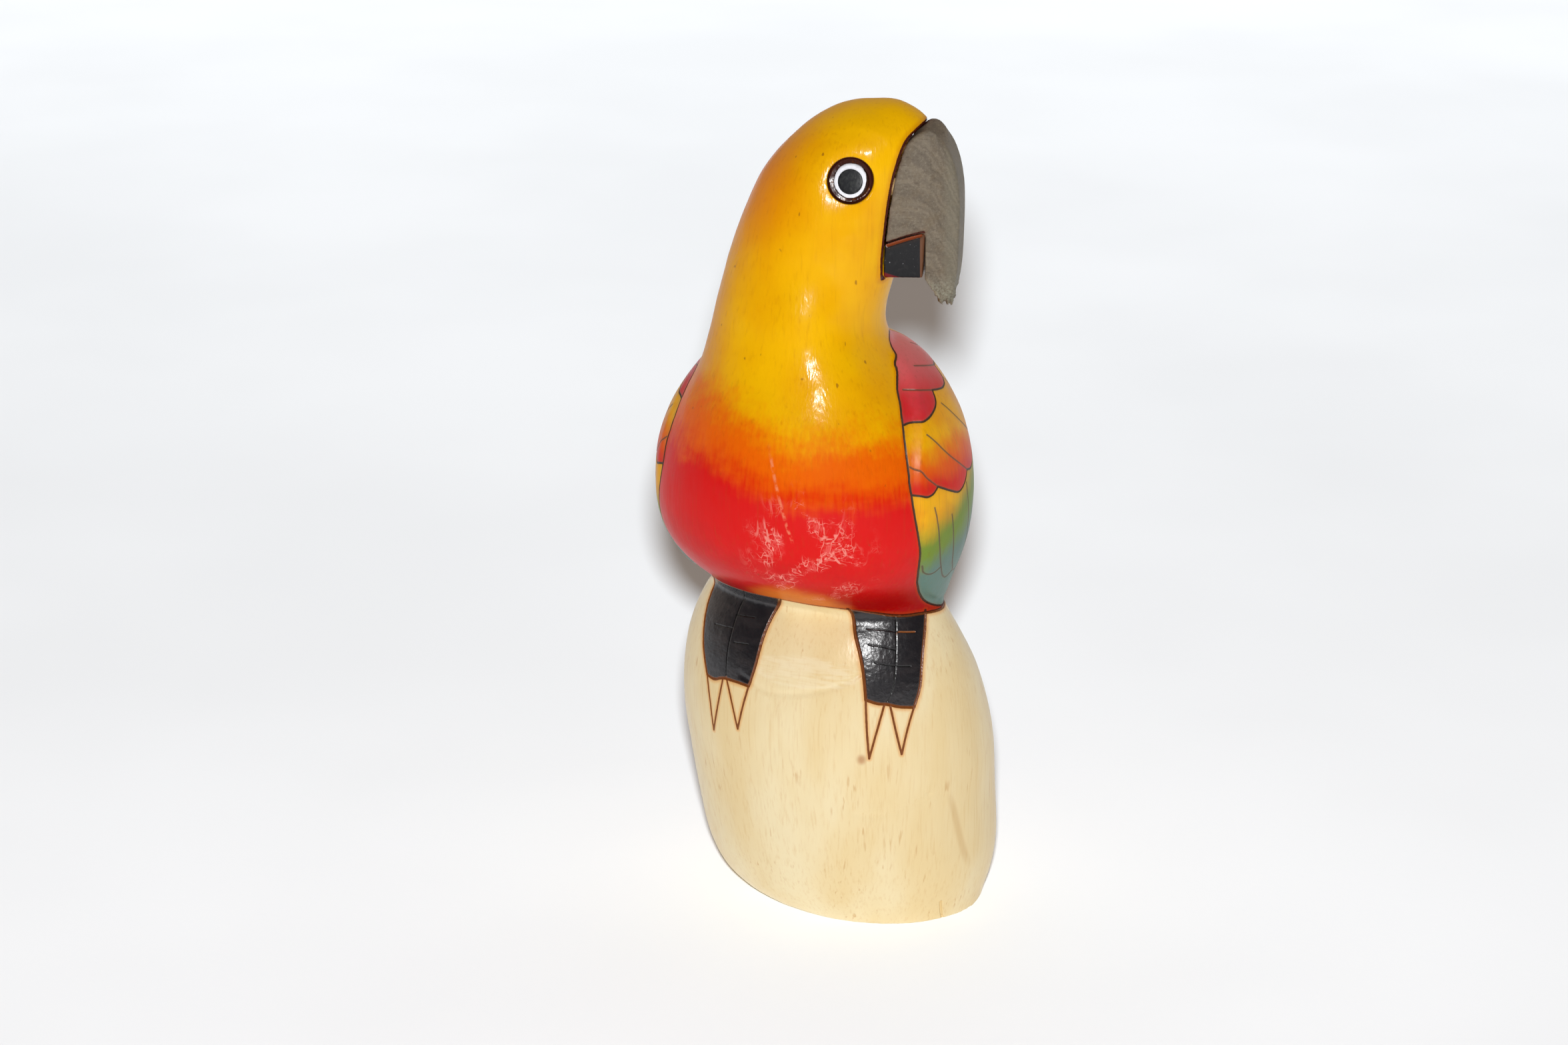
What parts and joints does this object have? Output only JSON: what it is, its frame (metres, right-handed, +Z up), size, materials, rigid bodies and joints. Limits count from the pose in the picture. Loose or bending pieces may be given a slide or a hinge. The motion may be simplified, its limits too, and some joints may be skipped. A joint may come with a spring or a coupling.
{
  "type": "carved parrot figure",
  "caption": "Carved wooden parrot perched on a rounded stump, head turned to its left; free-standing ornament on a flat underside.",
  "frame": {"origin": "centre of the stump's flat underside", "axes": "+Z up along the stump, the breast faces -Y, the head is turned towards +X"},
  "size_m": [0.0988, 0.0939, 0.25],
  "materials": {
    "stump_wood": "clear lacquered pale wood",
    "body_paint": "stained amber to red, glossy lacquer",
    "wing_paint": "stained rose, orange, yellow and teal, lacquered",
    "tail_paint": "stained teal and red, lacquered",
    "beak_wood": "matte grey-brown wood with fine grain",
    "mandible_paint": "glossy black",
    "eye_paint": "white ring and black pupil, glossy",
    "dowel_wood": "plain hardwood dowel"
  },
  "bodies": {
    "root": {"stump": "stump_wood", "body": "body_paint", "wing_left": "wing_paint", "wing_right": "wing_paint", "tail": "tail_paint", "upper_beak": "beak_wood", "lower_beak": "mandible_paint", "eye_left": "eye_paint", "eye_right": "eye_paint", "dowel_left": "dowel_wood", "dowel_right": "dowel_wood", "beak_dowel": "dowel_wood"}
  },
  "joints": []
}
